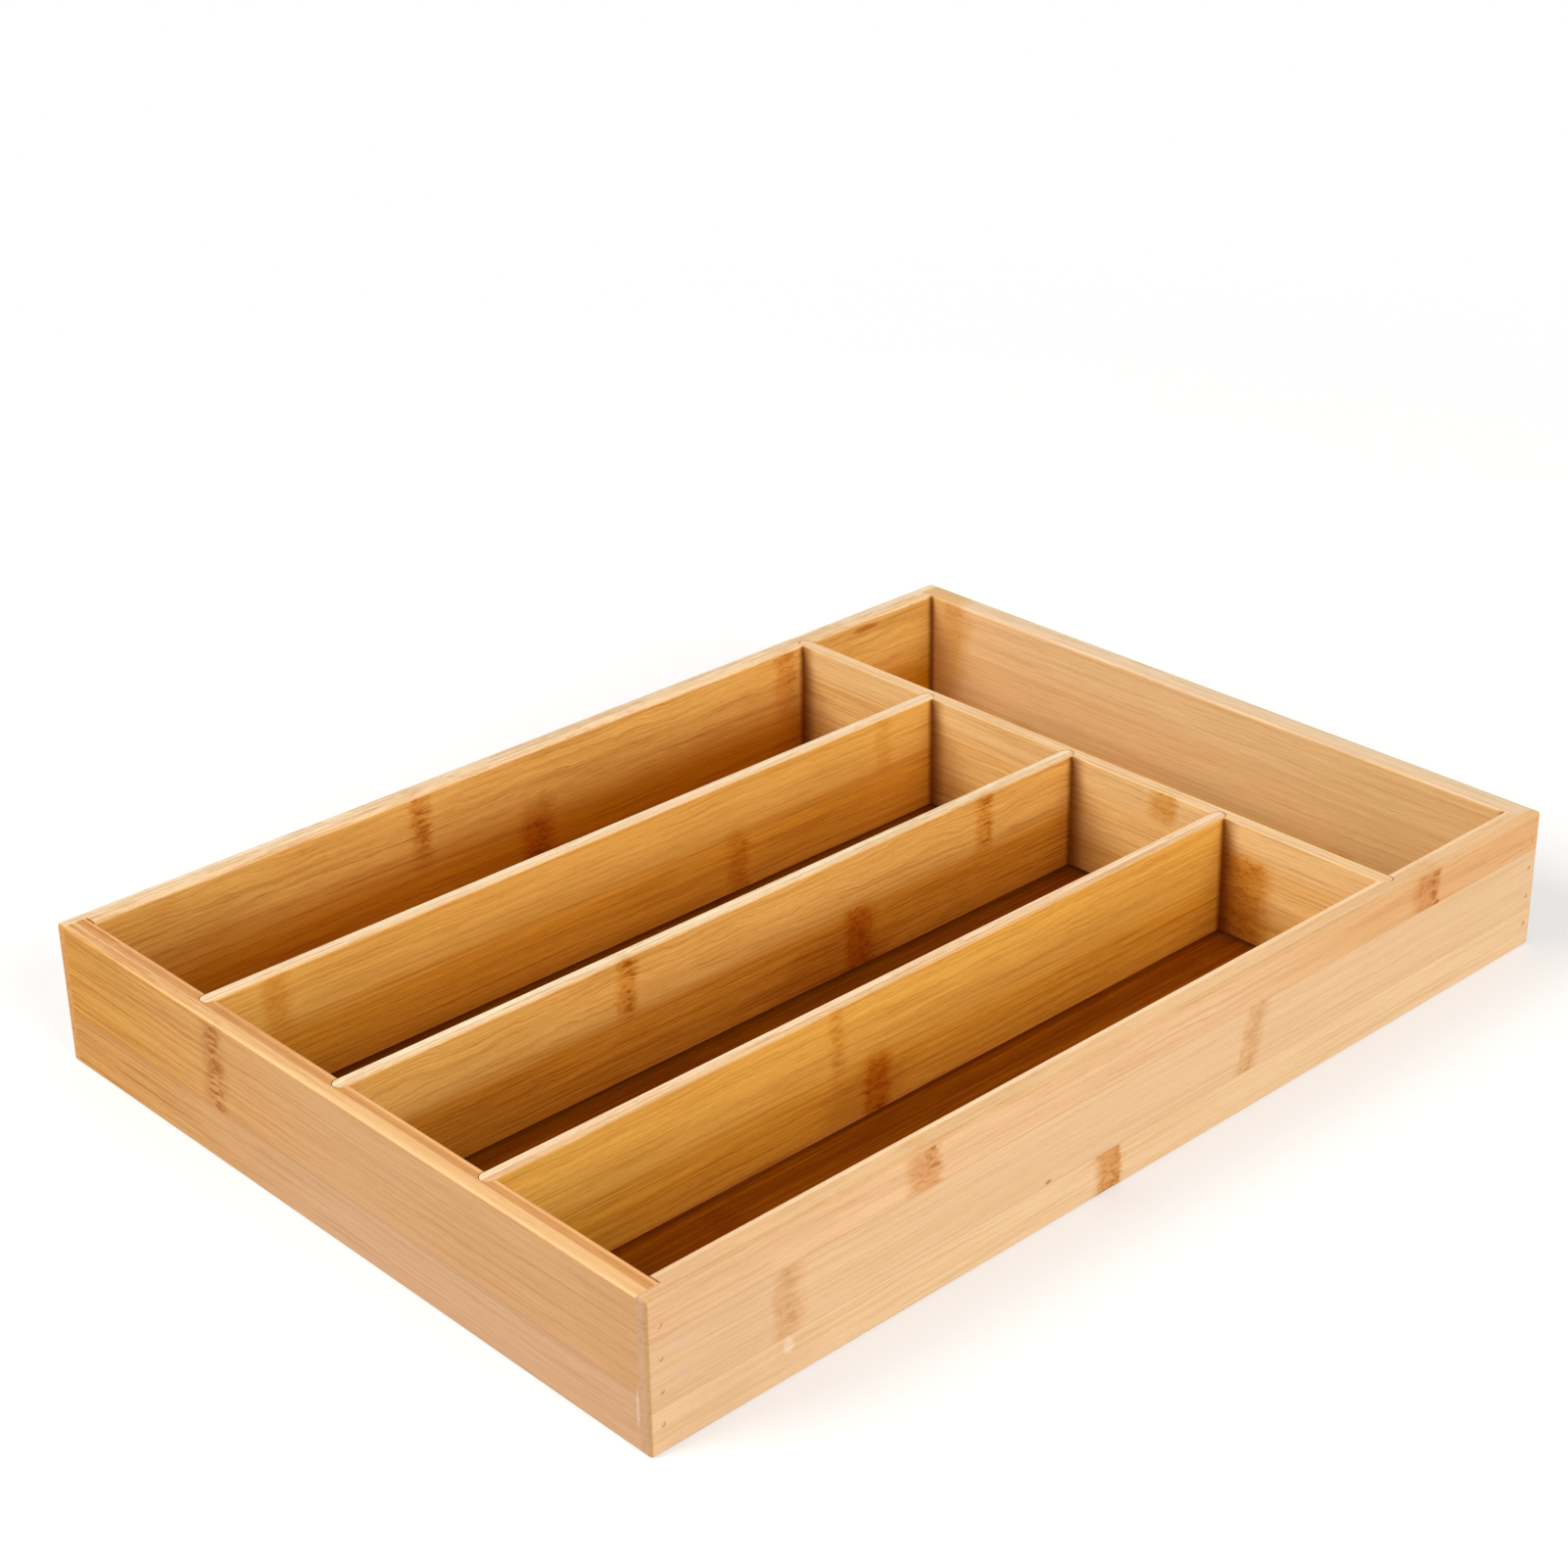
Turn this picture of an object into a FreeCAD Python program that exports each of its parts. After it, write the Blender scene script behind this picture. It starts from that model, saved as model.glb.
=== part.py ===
import FreeCAD, Part
import math
import os
import Sketcher

# A bamboo cutlery tray: four walls, a cross divider, three long dividers and a base panel,
# glued together and nailed at the corners. Lengths are in millimetres. X runs along the short
# walls, Y along the long walls and Z up. The origin is the middle of the footprint, on the
# surface that the tray stands on.

DIMENSIONS = {
    # The whole tray
    "overall_length": "355",
    "overall_width": "255",
    "wall_height": "45",
    "wall_thickness": "7.9",
    # Rounding of the walls' arrises and of the four upright outer corners
    "edge_radius": "1",
    "corner_radius": "1.1",
    # Part of a long wall's thickness that runs on past the end of a short wall
    "corner_lip": "3.6",
    # Dividers, with round ends that sit in routed slots
    "divider_thickness": "4.8",
    "divider_edge_radius": "0.5",
    "slot_depth": "3.5",
    "cross_slot_depth": "2.5",
    "joint_clearance": "0.04",
    # Clear depth of the compartment behind the cross divider
    "cross_compartment": "57.6",
    # Base panel, loose in a groove all round
    "panel_thickness": "3.5",
    "panel_rise": "2",
    "panel_fit": "0.1",
    "groove_depth": "3",
    "panel_play": "0.5",
    # Free height between the base panel and the lower edges of the dividers
    "floor_gap": "1.5",
    # Brads, driven through the lip into the end of the short wall
    "brad_count": "4",
    "brad_spacing": "9.4",
    "brad_diameter": "1",
    "brad_length": "18",
    "brad_point_length": "1.5",
    "brad_head_diameter": "1.4",
    "brad_head_height": "0.6",
    "brad_set": "0.15",
    "brad_clearance": "0.05",
    # Length by which a cut runs on past the face that it leaves
    "cut_overrun": "1",
}

LONG_DIVIDERS = ("long_divider_left", "long_divider_middle", "long_divider_right")

# Places and sizes that follow from the dimensions
INNER_WIDTH = "(Sizes.overall_width - 2 * Sizes.wall_thickness)"
INNER_LENGTH = "(Sizes.overall_length - 2 * Sizes.wall_thickness)"
SHORT_WALL_LENGTH = "(Sizes.overall_width - 2 * Sizes.corner_lip)"
DIVIDER_SEAT = "(Sizes.panel_rise + Sizes.panel_thickness + Sizes.floor_gap)"
DIVIDER_HEIGHT = f"(Sizes.wall_height - {DIVIDER_SEAT})"
DIVIDER_RADIUS = "(Sizes.divider_thickness / 2)"
SLOT_RADIUS = f"({DIVIDER_RADIUS} + Sizes.joint_clearance)"
CROSS_CENTRE = f"({INNER_LENGTH} / 2 - Sizes.cross_compartment - {DIVIDER_RADIUS})"
COMPARTMENT_WIDTH = (f"(({INNER_WIDTH} - {len(LONG_DIVIDERS)} * Sizes.divider_thickness)"
                     f" / {len(LONG_DIVIDERS) + 1})")
LOWEST_BRAD = "((Sizes.wall_height - (Sizes.brad_count - 1) * Sizes.brad_spacing) / 2)"
BRAD_INSET = "(Sizes.wall_thickness / 2)"

# Numbers by which sketches know their axes, their origin and the points of a line or an arc
X_AXIS_INDEX = -1
Y_AXIS_INDEX = -2
ORIGIN_INDEXES = (-1, 1)
START_INDEX = 1
END_INDEX = 2
CENTRE_INDEX = 3
UP = FreeCAD.Vector(0, 0, 1)
MATCH = 1e-6

document = FreeCAD.newDocument("CutleryTray")
sheet = document.addObject("Spreadsheet::Sheet", "Sizes")
for row, (name, value) in enumerate(DIMENSIONS.items(), start=1):
    sheet.set(f"A{row}", name.replace("_", " "))
    sheet.set(f"B{row}", value)
    sheet.setAlias(f"B{row}", name)
document.recompute()


# Sketches

def size(expression):
    """Returns the present value of an expression on the sheet's dimensions."""
    return float(sheet.evalExpression(expression))


def new_body(label):
    """Adds an empty body whose label names its file."""
    body = document.addObject("PartDesign::Body", label)
    body.Label = label
    return body


def new_sketch(body, name, plane, offset="0"):
    """Adds a sketch on one of a body's own origin planes, moved along the plane's normal."""
    sketch = body.newObject("Sketcher::SketchObject", f"{body.Name}_{name}")
    support = next(item for item in body.Origin.OriginFeatures if item.Role == plane)
    sketch.AttachmentSupport = [(support, "")]
    sketch.MapMode = "FlatFace"
    sketch.setExpression("AttachmentOffset.Base.z", offset)
    return sketch


def bind(sketch, expression, kind, *references):
    """Adds a dimension to a sketch and ties it to the sheet."""
    index = sketch.addConstraint(Sketcher.Constraint(kind, *references, size(expression)))
    sketch.setExpression(f"Constraints[{index}]", expression)


def place_point(sketch, geometry, vertex, across, along):
    """Holds a point of a sketch at two distances from the sketch's origin."""
    if across == "0":
        sketch.addConstraint(Sketcher.Constraint("PointOnObject", geometry, vertex, Y_AXIS_INDEX))
    else:
        bind(sketch, across, "DistanceX", *ORIGIN_INDEXES, geometry, vertex)
    if along == "0":
        sketch.addConstraint(Sketcher.Constraint("PointOnObject", geometry, vertex, X_AXIS_INDEX))
    else:
        bind(sketch, along, "DistanceY", *ORIGIN_INDEXES, geometry, vertex)


def draw_outline(sketch, points):
    """Draws a closed outline of straight lines through points given as pairs of expressions."""
    corners = [FreeCAD.Vector(size(across), size(along), 0) for across, along in points]
    lines = [sketch.addGeometry(Part.LineSegment(corner, corners[(index + 1) % len(corners)]), False)
             for index, corner in enumerate(corners)]
    for index, line in enumerate(lines):
        following = lines[(index + 1) % len(lines)]
        sketch.addConstraint(Sketcher.Constraint("Coincident", line, END_INDEX, following, START_INDEX))
        place_point(sketch, line, START_INDEX, *points[index])


def draw_rectangle(sketch, low, high):
    """Draws a rectangle between two opposite corners given as pairs of expressions."""
    draw_outline(sketch, [low, (high[0], low[1]), high, (low[0], high[1])])


def draw_circle(sketch, across, along, diameter):
    """Draws a circle with its centre and diameter tied to the sheet."""
    centre = FreeCAD.Vector(size(across), size(along), 0)
    circle = sketch.addGeometry(Part.Circle(centre, UP, size(diameter) / 2), False)
    place_point(sketch, circle, CENTRE_INDEX, across, along)
    bind(sketch, diameter, "Diameter", circle)


def draw_half_circle(sketch, across, along, radius, first_angle):
    """Draws half a circle, counter-clockwise from its first angle, and returns its number."""
    circle = Part.Circle(FreeCAD.Vector(size(across), size(along), 0), UP, size(radius))
    return sketch.addGeometry(Part.ArcOfCircle(circle, first_angle, first_angle + math.pi), False)


def draw_round_ended_bar(sketch, length, radius):
    """Draws a bar along the sketch's X axis, centred on its origin, with half-round ends."""
    reach = f"({length} / 2 - {radius})"
    right = draw_half_circle(sketch, reach, "0", radius, -math.pi / 2)
    left = draw_half_circle(sketch, f"-{reach}", "0", radius, math.pi / 2)
    sides = []
    for leaving, arriving, level in ((right, left, size(radius)), (left, right, -size(radius))):
        outward = size(reach) if leaving == right else -size(reach)
        line = Part.LineSegment(FreeCAD.Vector(outward, level, 0), FreeCAD.Vector(-outward, level, 0))
        side = sketch.addGeometry(line, False)
        sketch.addConstraint(Sketcher.Constraint("Tangent", leaving, END_INDEX, side, START_INDEX))
        sketch.addConstraint(Sketcher.Constraint("Tangent", side, END_INDEX, arriving, START_INDEX))
        sides.append(side)
    sketch.addConstraint(Sketcher.Constraint("Horizontal", sides[0]))
    bind(sketch, radius, "Radius", right)
    place_point(sketch, right, CENTRE_INDEX, reach, "0")
    place_point(sketch, left, CENTRE_INDEX, f"-{reach}", "0")


def draw_slot(sketch, across, centre, mouth):
    """Draws a slot that runs from its mouth to a half-round end about its centre, along Y."""
    radius = size(SLOT_RADIUS)
    middle = size(across)
    opens_up = size(mouth) > size(centre)
    end = draw_half_circle(sketch, across, centre, SLOT_RADIUS, math.pi if opens_up else 0)
    side = radius if opens_up else -radius
    arc_end = FreeCAD.Vector(middle + side, size(centre), 0)
    mouth_end = FreeCAD.Vector(middle + side, size(mouth), 0)
    mouth_start = FreeCAD.Vector(middle - side, size(mouth), 0)
    arc_start = FreeCAD.Vector(middle - side, size(centre), 0)
    leaving = sketch.addGeometry(Part.LineSegment(arc_end, mouth_end), False)
    opening = sketch.addGeometry(Part.LineSegment(mouth_end, mouth_start), False)
    arriving = sketch.addGeometry(Part.LineSegment(mouth_start, arc_start), False)
    sketch.addConstraint(Sketcher.Constraint("Tangent", end, END_INDEX, leaving, START_INDEX))
    sketch.addConstraint(Sketcher.Constraint("Coincident", leaving, END_INDEX, opening, START_INDEX))
    sketch.addConstraint(Sketcher.Constraint("Coincident", opening, END_INDEX, arriving, START_INDEX))
    sketch.addConstraint(Sketcher.Constraint("Tangent", arriving, END_INDEX, end, START_INDEX))
    sketch.addConstraint(Sketcher.Constraint("Vertical", leaving))
    sketch.addConstraint(Sketcher.Constraint("Vertical", arriving))
    sketch.addConstraint(Sketcher.Constraint("Horizontal", opening))
    bind(sketch, SLOT_RADIUS, "Radius", end)
    place_point(sketch, end, CENTRE_INDEX, across, centre)
    bind(sketch, mouth, "DistanceY", *ORIGIN_INDEXES, opening, START_INDEX)


# Features

def pad(sketch, height):
    """Raises a sketch into a board."""
    body = sketch.getParentGeoFeatureGroup()
    feature = body.newObject("PartDesign::Pad", f"{sketch.Name}_pad")
    feature.Profile = sketch
    feature.setExpression("Length", height)
    document.recompute()
    return feature


def pocket(sketch, depth, reverse=False, both_ways=False):
    """Cuts a sketch out of its body, against the sketch's normal, and checks that wood went."""
    body = sketch.getParentGeoFeatureGroup()
    before = body.Tip.Shape.Volume
    feature = body.newObject("PartDesign::Pocket", f"{sketch.Name}_pocket")
    feature.Profile = sketch
    feature.Reversed = reverse
    if both_ways:
        feature.SideType = "Symmetric"
    feature.setExpression("Length", depth)
    document.recompute()
    if feature.Shape.Volume >= before:
        raise RuntimeError(f"{feature.Name} cuts nothing")
    return feature


def ease(body, name, radius, wanted):
    """Rounds those edges of a body that a test on an edge picks out."""
    base = body.Tip
    edges = [f"Edge{number}" for number, edge in enumerate(base.Shape.Edges, start=1) if wanted(edge)]
    feature = body.newObject("PartDesign::Fillet", f"{body.Name}_{name}")
    feature.Base = (base, edges)
    feature.setExpression("Radius", radius)
    document.recompute()
    return feature


def lies_at(edge, level):
    """Says whether a whole edge lies at one height."""
    return all(abs(vertex.Z - level) < MATCH for vertex in edge.Vertexes)


def place(body, x, y, z, turn=0):
    """Turns a body about Z, in degrees, and sets it down at a place tied to the sheet."""
    body.Placement = FreeCAD.Placement(FreeCAD.Vector(), FreeCAD.Rotation(UP, turn))
    for axis, expression in (("x", x), ("y", y), ("z", z)):
        body.setExpression(f"Placement.Base.{axis}", expression)
    document.recompute()


# Walls. Each is drawn with its outer face on the plane Y = 0, its thickness along +Y and its
# length centred on X = 0.

def ease_wall(body, outer_limit):
    """Rounds a wall's two upper arrises and its outer lower one, ends of the lips included."""
    top = size("Sizes.wall_height")
    inner_face = size("Sizes.wall_thickness")
    limit = size(outer_limit)

    def is_outer(edge):
        return edge.CenterOfMass.y < limit - MATCH

    def is_inner(edge):
        return edge.CenterOfMass.y > inner_face - MATCH

    ease(body, "eased", "Sizes.edge_radius",
         lambda edge: (lies_at(edge, top) and (is_outer(edge) or is_inner(edge)))
         or (lies_at(edge, 0) and is_outer(edge)))


def cut_panel_groove(body):
    """Cuts the groove that takes the base panel, from end to end of a wall."""
    sketch = new_sketch(body, "panel_groove", "YZ_Plane")
    draw_rectangle(sketch, ("Sizes.wall_thickness - Sizes.groove_depth", "Sizes.panel_rise"),
                   ("Sizes.wall_thickness + Sizes.cut_overrun",
                    "Sizes.panel_rise + Sizes.panel_thickness + Sizes.panel_fit"))
    pocket(sketch, "Sizes.overall_length + 2 * Sizes.cut_overrun", both_ways=True)


def cut_divider_slots(body, places):
    """Cuts slots into a wall's inner face, from the top down to the dividers' lower edges."""
    sketch = new_sketch(body, "divider_slots", "XY_Plane", "Sizes.wall_height")
    for across in places:
        draw_slot(sketch, across, f"Sizes.wall_thickness - Sizes.slot_depth + {DIVIDER_RADIUS}",
                  "Sizes.wall_thickness + Sizes.cut_overrun")
    pocket(sketch, DIVIDER_HEIGHT)


def brad_levels():
    """Returns the heights of one corner's brads, from the lowest up."""
    return [f"{LOWEST_BRAD} + {step} * Sizes.brad_spacing" for step in range(int(sheet.brad_count))]


def make_long_wall(label, slot_place):
    """Makes a long wall, rabbeted at both ends so that its lips cover the short walls' ends."""
    body = new_body(label)
    plan = new_sketch(body, "plan", "XY_Plane")
    draw_rectangle(plan, ("-Sizes.overall_length / 2", "0"),
                   ("Sizes.overall_length / 2", "Sizes.wall_thickness"))
    pad(plan, "Sizes.wall_height")
    shoulder = f"{INNER_LENGTH} / 2"
    past_end = "(Sizes.overall_length / 2 + Sizes.cut_overrun)"
    past_face = "Sizes.wall_thickness + Sizes.cut_overrun"
    rabbets = new_sketch(body, "rabbets", "XY_Plane", "Sizes.wall_height")
    draw_rectangle(rabbets, (shoulder, "Sizes.corner_lip"), (past_end, past_face))
    draw_rectangle(rabbets, (f"-{past_end}", "Sizes.corner_lip"), (f"-{shoulder}", past_face))
    pocket(rabbets, "Sizes.wall_height")
    half_height = size("Sizes.wall_height / 2")
    ease(body, "corners", "Sizes.corner_radius",
         lambda edge: abs(edge.CenterOfMass.y) < MATCH and abs(edge.CenterOfMass.z - half_height) < MATCH)
    ease_wall(body, "Sizes.corner_lip")
    cut_panel_groove(body)
    cut_divider_slots(body, [slot_place])
    bores = (("brad_holes", "Sizes.brad_diameter", "Sizes.corner_lip + Sizes.cut_overrun"),
             ("brad_heads", "Sizes.brad_head_diameter", "Sizes.brad_set + Sizes.brad_head_height"))
    for name, diameter, depth in bores:
        sketch = new_sketch(body, name, "XZ_Plane")
        for end in ("", "-"):
            for level in brad_levels():
                draw_circle(sketch, f"{end}(Sizes.overall_length / 2 - {BRAD_INSET})", level,
                            f"{diameter} + 2 * Sizes.brad_clearance")
        pocket(sketch, depth)
    return body


def make_short_wall(label, slot_places):
    """Makes a short wall, whose ends butt against the long walls' lips."""
    body = new_body(label)
    half_length = f"{SHORT_WALL_LENGTH} / 2"
    plan = new_sketch(body, "plan", "XY_Plane")
    draw_rectangle(plan, (f"-{half_length}", "0"), (half_length, "Sizes.wall_thickness"))
    pad(plan, "Sizes.wall_height")
    ease_wall(body, "Sizes.wall_thickness / 2")
    cut_panel_groove(body)
    if slot_places:
        cut_divider_slots(body, slot_places)
    ends = (("right_brads", half_length, False), ("left_brads", f"-{half_length}", True))
    for name, offset, reverse in ends:
        sketch = new_sketch(body, name, "YZ_Plane", offset)
        for level in brad_levels():
            draw_circle(sketch, BRAD_INSET, level, "Sizes.brad_diameter + 2 * Sizes.brad_clearance")
        pocket(sketch, "Sizes.brad_set + Sizes.brad_length - Sizes.corner_lip + Sizes.brad_clearance",
               reverse=reverse)
    return body


# Dividers. Each is drawn about its own middle, with its length along X and its lower edge at Z = 0.

def make_divider(label, length):
    """Makes a divider: an upright board with half-round ends and a rounded top."""
    body = new_body(label)
    plan = new_sketch(body, "plan", "XY_Plane")
    draw_round_ended_bar(plan, length, DIVIDER_RADIUS)
    pad(plan, DIVIDER_HEIGHT)
    top = size(DIVIDER_HEIGHT)
    ease(body, "eased", "Sizes.divider_edge_radius", lambda edge: lies_at(edge, top))
    return body


def divider_place(number):
    """Returns the X place of a long divider's middle, counted from 1 at the left."""
    return (f"(-{INNER_WIDTH} / 2 + {number} * ({COMPARTMENT_WIDTH} + Sizes.divider_thickness)"
            f" - {DIVIDER_RADIUS})")


def make_cross_divider(label, slot_places):
    """Makes the divider that crosses the tray, slotted in front for the long dividers' ends."""
    body = make_divider(label, f"({INNER_WIDTH} + 2 * Sizes.slot_depth)")
    sketch = new_sketch(body, "divider_slots", "XY_Plane", DIVIDER_HEIGHT)
    for across in slot_places:
        draw_slot(sketch, across, "Sizes.cross_slot_depth - Sizes.divider_thickness",
                  f"-{DIVIDER_RADIUS} - Sizes.cut_overrun")
    pocket(sketch, DIVIDER_HEIGHT)
    return body


# Base panel and brads

def make_base_panel(label):
    """Makes the panel that lies in the walls' grooves, with room to swell."""
    body = new_body(label)
    reach = "Sizes.groove_depth - Sizes.panel_play"
    across = f"({INNER_WIDTH} / 2 + {reach})"
    along = f"({INNER_LENGTH} / 2 + {reach})"
    plan = new_sketch(body, "plan", "XY_Plane")
    draw_rectangle(plan, (f"-{across}", f"-{along}"), (across, along))
    pad(plan, "Sizes.panel_thickness")
    return body


def make_corner_brads(label):
    """Makes one corner's brads, heads towards -Y and set below the plane Y = 0, the lowest at Z = 0."""
    body = new_body(label)
    profile = new_sketch(body, "profile", "XY_Plane")
    head_radius = "Sizes.brad_head_diameter / 2"
    shank_radius = "Sizes.brad_diameter / 2"
    neck = "Sizes.brad_set + Sizes.brad_head_height"
    tip = "Sizes.brad_set + Sizes.brad_length"
    draw_outline(profile, [
        ("0", "Sizes.brad_set"),
        (head_radius, "Sizes.brad_set"),
        (head_radius, neck),
        (shank_radius, neck),
        (shank_radius, f"{tip} - Sizes.brad_point_length"),
        ("0", tip),
    ])
    brad = body.newObject("PartDesign::Revolution", f"{label}_brad")
    brad.Profile = profile
    brad.ReferenceAxis = (profile, ["V_Axis"])
    document.recompute()
    row = body.newObject("PartDesign::LinearPattern", f"{label}_row")
    row.Originals = [brad]
    upright = next(item for item in body.Origin.OriginFeatures if item.Role == "Z_Axis")
    row.Direction = (upright, [""])
    row.setExpression("Length", "(Sizes.brad_count - 1) * Sizes.brad_spacing")
    row.setExpression("Occurrences", "Sizes.brad_count")
    body.Tip = row
    document.recompute()
    return body


# Assembly

QUARTER_TURN = 90
HALF_TURN = 180
RIGHT, LEFT = "Sizes.overall_width / 2", "-Sizes.overall_width / 2"
BACK, FRONT = "Sizes.overall_length / 2", "-Sizes.overall_length / 2"

divider_places = [divider_place(number) for number in range(1, len(LONG_DIVIDERS) + 1)]
parts = []

front_wall = make_short_wall("front_wall", divider_places)
place(front_wall, "0", FRONT, "0")
back_wall = make_short_wall("back_wall", [])
place(back_wall, "0", BACK, "0", HALF_TURN)
right_wall = make_long_wall("right_wall", CROSS_CENTRE)
place(right_wall, RIGHT, "0", "0", QUARTER_TURN)
left_wall = make_long_wall("left_wall", f"-{CROSS_CENTRE}")
place(left_wall, LEFT, "0", "0", -QUARTER_TURN)
parts += [front_wall, back_wall, right_wall, left_wall]

cross_divider = make_cross_divider("cross_divider", divider_places)
place(cross_divider, "0", CROSS_CENTRE, DIVIDER_SEAT)
parts.append(cross_divider)

divider_front = f"(-{INNER_LENGTH} / 2 - Sizes.slot_depth)"
divider_back = f"({CROSS_CENTRE} - {DIVIDER_RADIUS} + Sizes.cross_slot_depth)"
for label, across in zip(LONG_DIVIDERS, divider_places):
    long_divider = make_divider(label, f"({divider_back} - {divider_front})")
    place(long_divider, across, f"({divider_back} + {divider_front}) / 2", DIVIDER_SEAT, QUARTER_TURN)
    parts.append(long_divider)

base_panel = make_base_panel("base_panel")
place(base_panel, "0", "0", "Sizes.panel_rise")
parts.append(base_panel)

for side, across, turn in (("left", LEFT, -QUARTER_TURN), ("right", RIGHT, QUARTER_TURN)):
    for end, along in (("front", f"{FRONT} + {BRAD_INSET}"), ("back", f"{BACK} - {BRAD_INSET}")):
        brads = make_corner_brads(f"corner_brads_{end}_{side}")
        place(brads, across, along, LOWEST_BRAD, turn)
        parts.append(brads)

# Checks, and one file for each sub-part
document.recompute()
for item in document.Objects:
    if "Invalid" in item.State or "Error" in item.State:
        raise RuntimeError(f"{item.Name} is not built: {item.State}")
for part in parts:
    if part.Shape.isNull() or not part.Shape.isValid():
        raise RuntimeError(f"{part.Label} has no valid shape")

os.makedirs("parts", exist_ok=True)
for part in parts:
    part.Shape.exportStep(os.path.join("parts", f"{part.Label}.step"))
    print(part.Label, len(part.Shape.Solids), "solids,", round(part.Shape.Volume), "cubic mm")
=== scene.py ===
"""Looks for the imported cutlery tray: laminated bamboo boards, brads, a pale studio and one camera.

Objects are in metres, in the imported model's frame. Shaders read the same frame in millimetres, so a strip
or a bamboo node is placed by the height and the length at which it lies on its board.
"""

from __future__ import annotations

import logging
import math
from dataclasses import dataclass
from enum import Enum
from typing import Any, Optional, Union

import bmesh
import bpy
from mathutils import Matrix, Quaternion, Vector

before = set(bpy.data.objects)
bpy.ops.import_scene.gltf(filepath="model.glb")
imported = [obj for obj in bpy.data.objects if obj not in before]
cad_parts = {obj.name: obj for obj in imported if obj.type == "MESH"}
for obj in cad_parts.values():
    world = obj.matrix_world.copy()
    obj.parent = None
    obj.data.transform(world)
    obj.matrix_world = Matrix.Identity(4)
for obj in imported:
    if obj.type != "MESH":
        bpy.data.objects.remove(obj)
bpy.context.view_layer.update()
LOG = logging.getLogger("cutlery_tray")

MM_PER_M = 1000.0
HALF = 0.5
FULL_CHANNEL = 255.0
DISPLAY_TOE = 0.04045
DISPLAY_TOE_SLOPE = 12.92
DISPLAY_OFFSET = 0.055
DISPLAY_POWER = 2.4
MIX_FACTOR, MIX_BASE, MIX_OVER = 0, 6, 7
MIX_RESULT = 2
Colour = tuple[float, float, float, float]
Point = tuple[float, float, float]


def srgb(red: int, green: int, blue: int) -> Colour:
    """Turns a display colour into the linear one that a shader takes.

    Args:
        red: red, 0 to 255.
        green: green, 0 to 255.
        blue: blue, 0 to 255.

    Returns:
        The linear colour with full alpha.
    """

    def linear(channel: int) -> float:
        """Undoes the display curve of one channel."""
        share = channel / FULL_CHANNEL
        if share <= DISPLAY_TOE:
            return share / DISPLAY_TOE_SLOPE
        return ((share + DISPLAY_OFFSET) / (1.0 + DISPLAY_OFFSET)) ** DISPLAY_POWER

    return (linear(red), linear(green), linear(blue), 1.0)


class Value:
    """A number that varies over a surface: one socket, with Python's operators."""

    def __init__(self, graph: Graph, socket: bpy.types.NodeSocket) -> None:
        """Keeps the graph that takes new nodes, and the socket."""
        self.graph = graph
        self.socket = socket

    def __add__(self, other: Operand) -> Value:
        """self + other."""
        return self.graph.maths("ADD", self, other)

    __radd__ = __add__

    def __sub__(self, other: Operand) -> Value:
        """self - other."""
        return self.graph.maths("SUBTRACT", self, other)

    def __rsub__(self, other: Operand) -> Value:
        """other - self."""
        return self.graph.maths("SUBTRACT", other, self)

    def __mul__(self, other: Operand) -> Value:
        """self * other."""
        return self.graph.maths("MULTIPLY", self, other)

    __rmul__ = __mul__

    def __truediv__(self, other: Operand) -> Value:
        """self / other."""
        return self.graph.maths("DIVIDE", self, other)

    def __rtruediv__(self, other: Operand) -> Value:
        """other / self."""
        return self.graph.maths("DIVIDE", other, self)

    def __abs__(self) -> Value:
        """Distance from zero."""
        return self.graph.maths("ABSOLUTE", self)

    def floor(self) -> Value:
        """The whole number below."""
        return self.graph.maths("FLOOR", self)

    def fract(self) -> Value:
        """What is left above the whole number below."""
        return self.graph.maths("FRACT", self)

    def clamp(self) -> Value:
        """Held between 0 and 1."""
        return Value(self.graph, self.graph.node("ShaderNodeClamp", sockets={0: self}).outputs[0])

    def hypot(self, other: Value) -> Value:
        """Length of the slanting side over two square ones."""
        return self.graph.maths("SQRT", self * self + other * other)

    def rise(self, low: Operand, high: Operand) -> Value:
        """Smooth step from 0 at low to 1 at high.

        Args:
            low: where the step starts.
            high: where it ends.

        Returns:
            The step, from 0 to 1.
        """
        step = self.graph.node(
            "ShaderNodeMapRange",
            {"interpolation_type": "SMOOTHSTEP"},
            {"Value": self, "From Min": low, "From Max": high},
        )
        return Value(self.graph, step.outputs[0])


Operand = Union[Value, float]
Link = Union[Value, bpy.types.NodeSocket, float, tuple]
Place = tuple[Operand, Operand, Operand]


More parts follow.
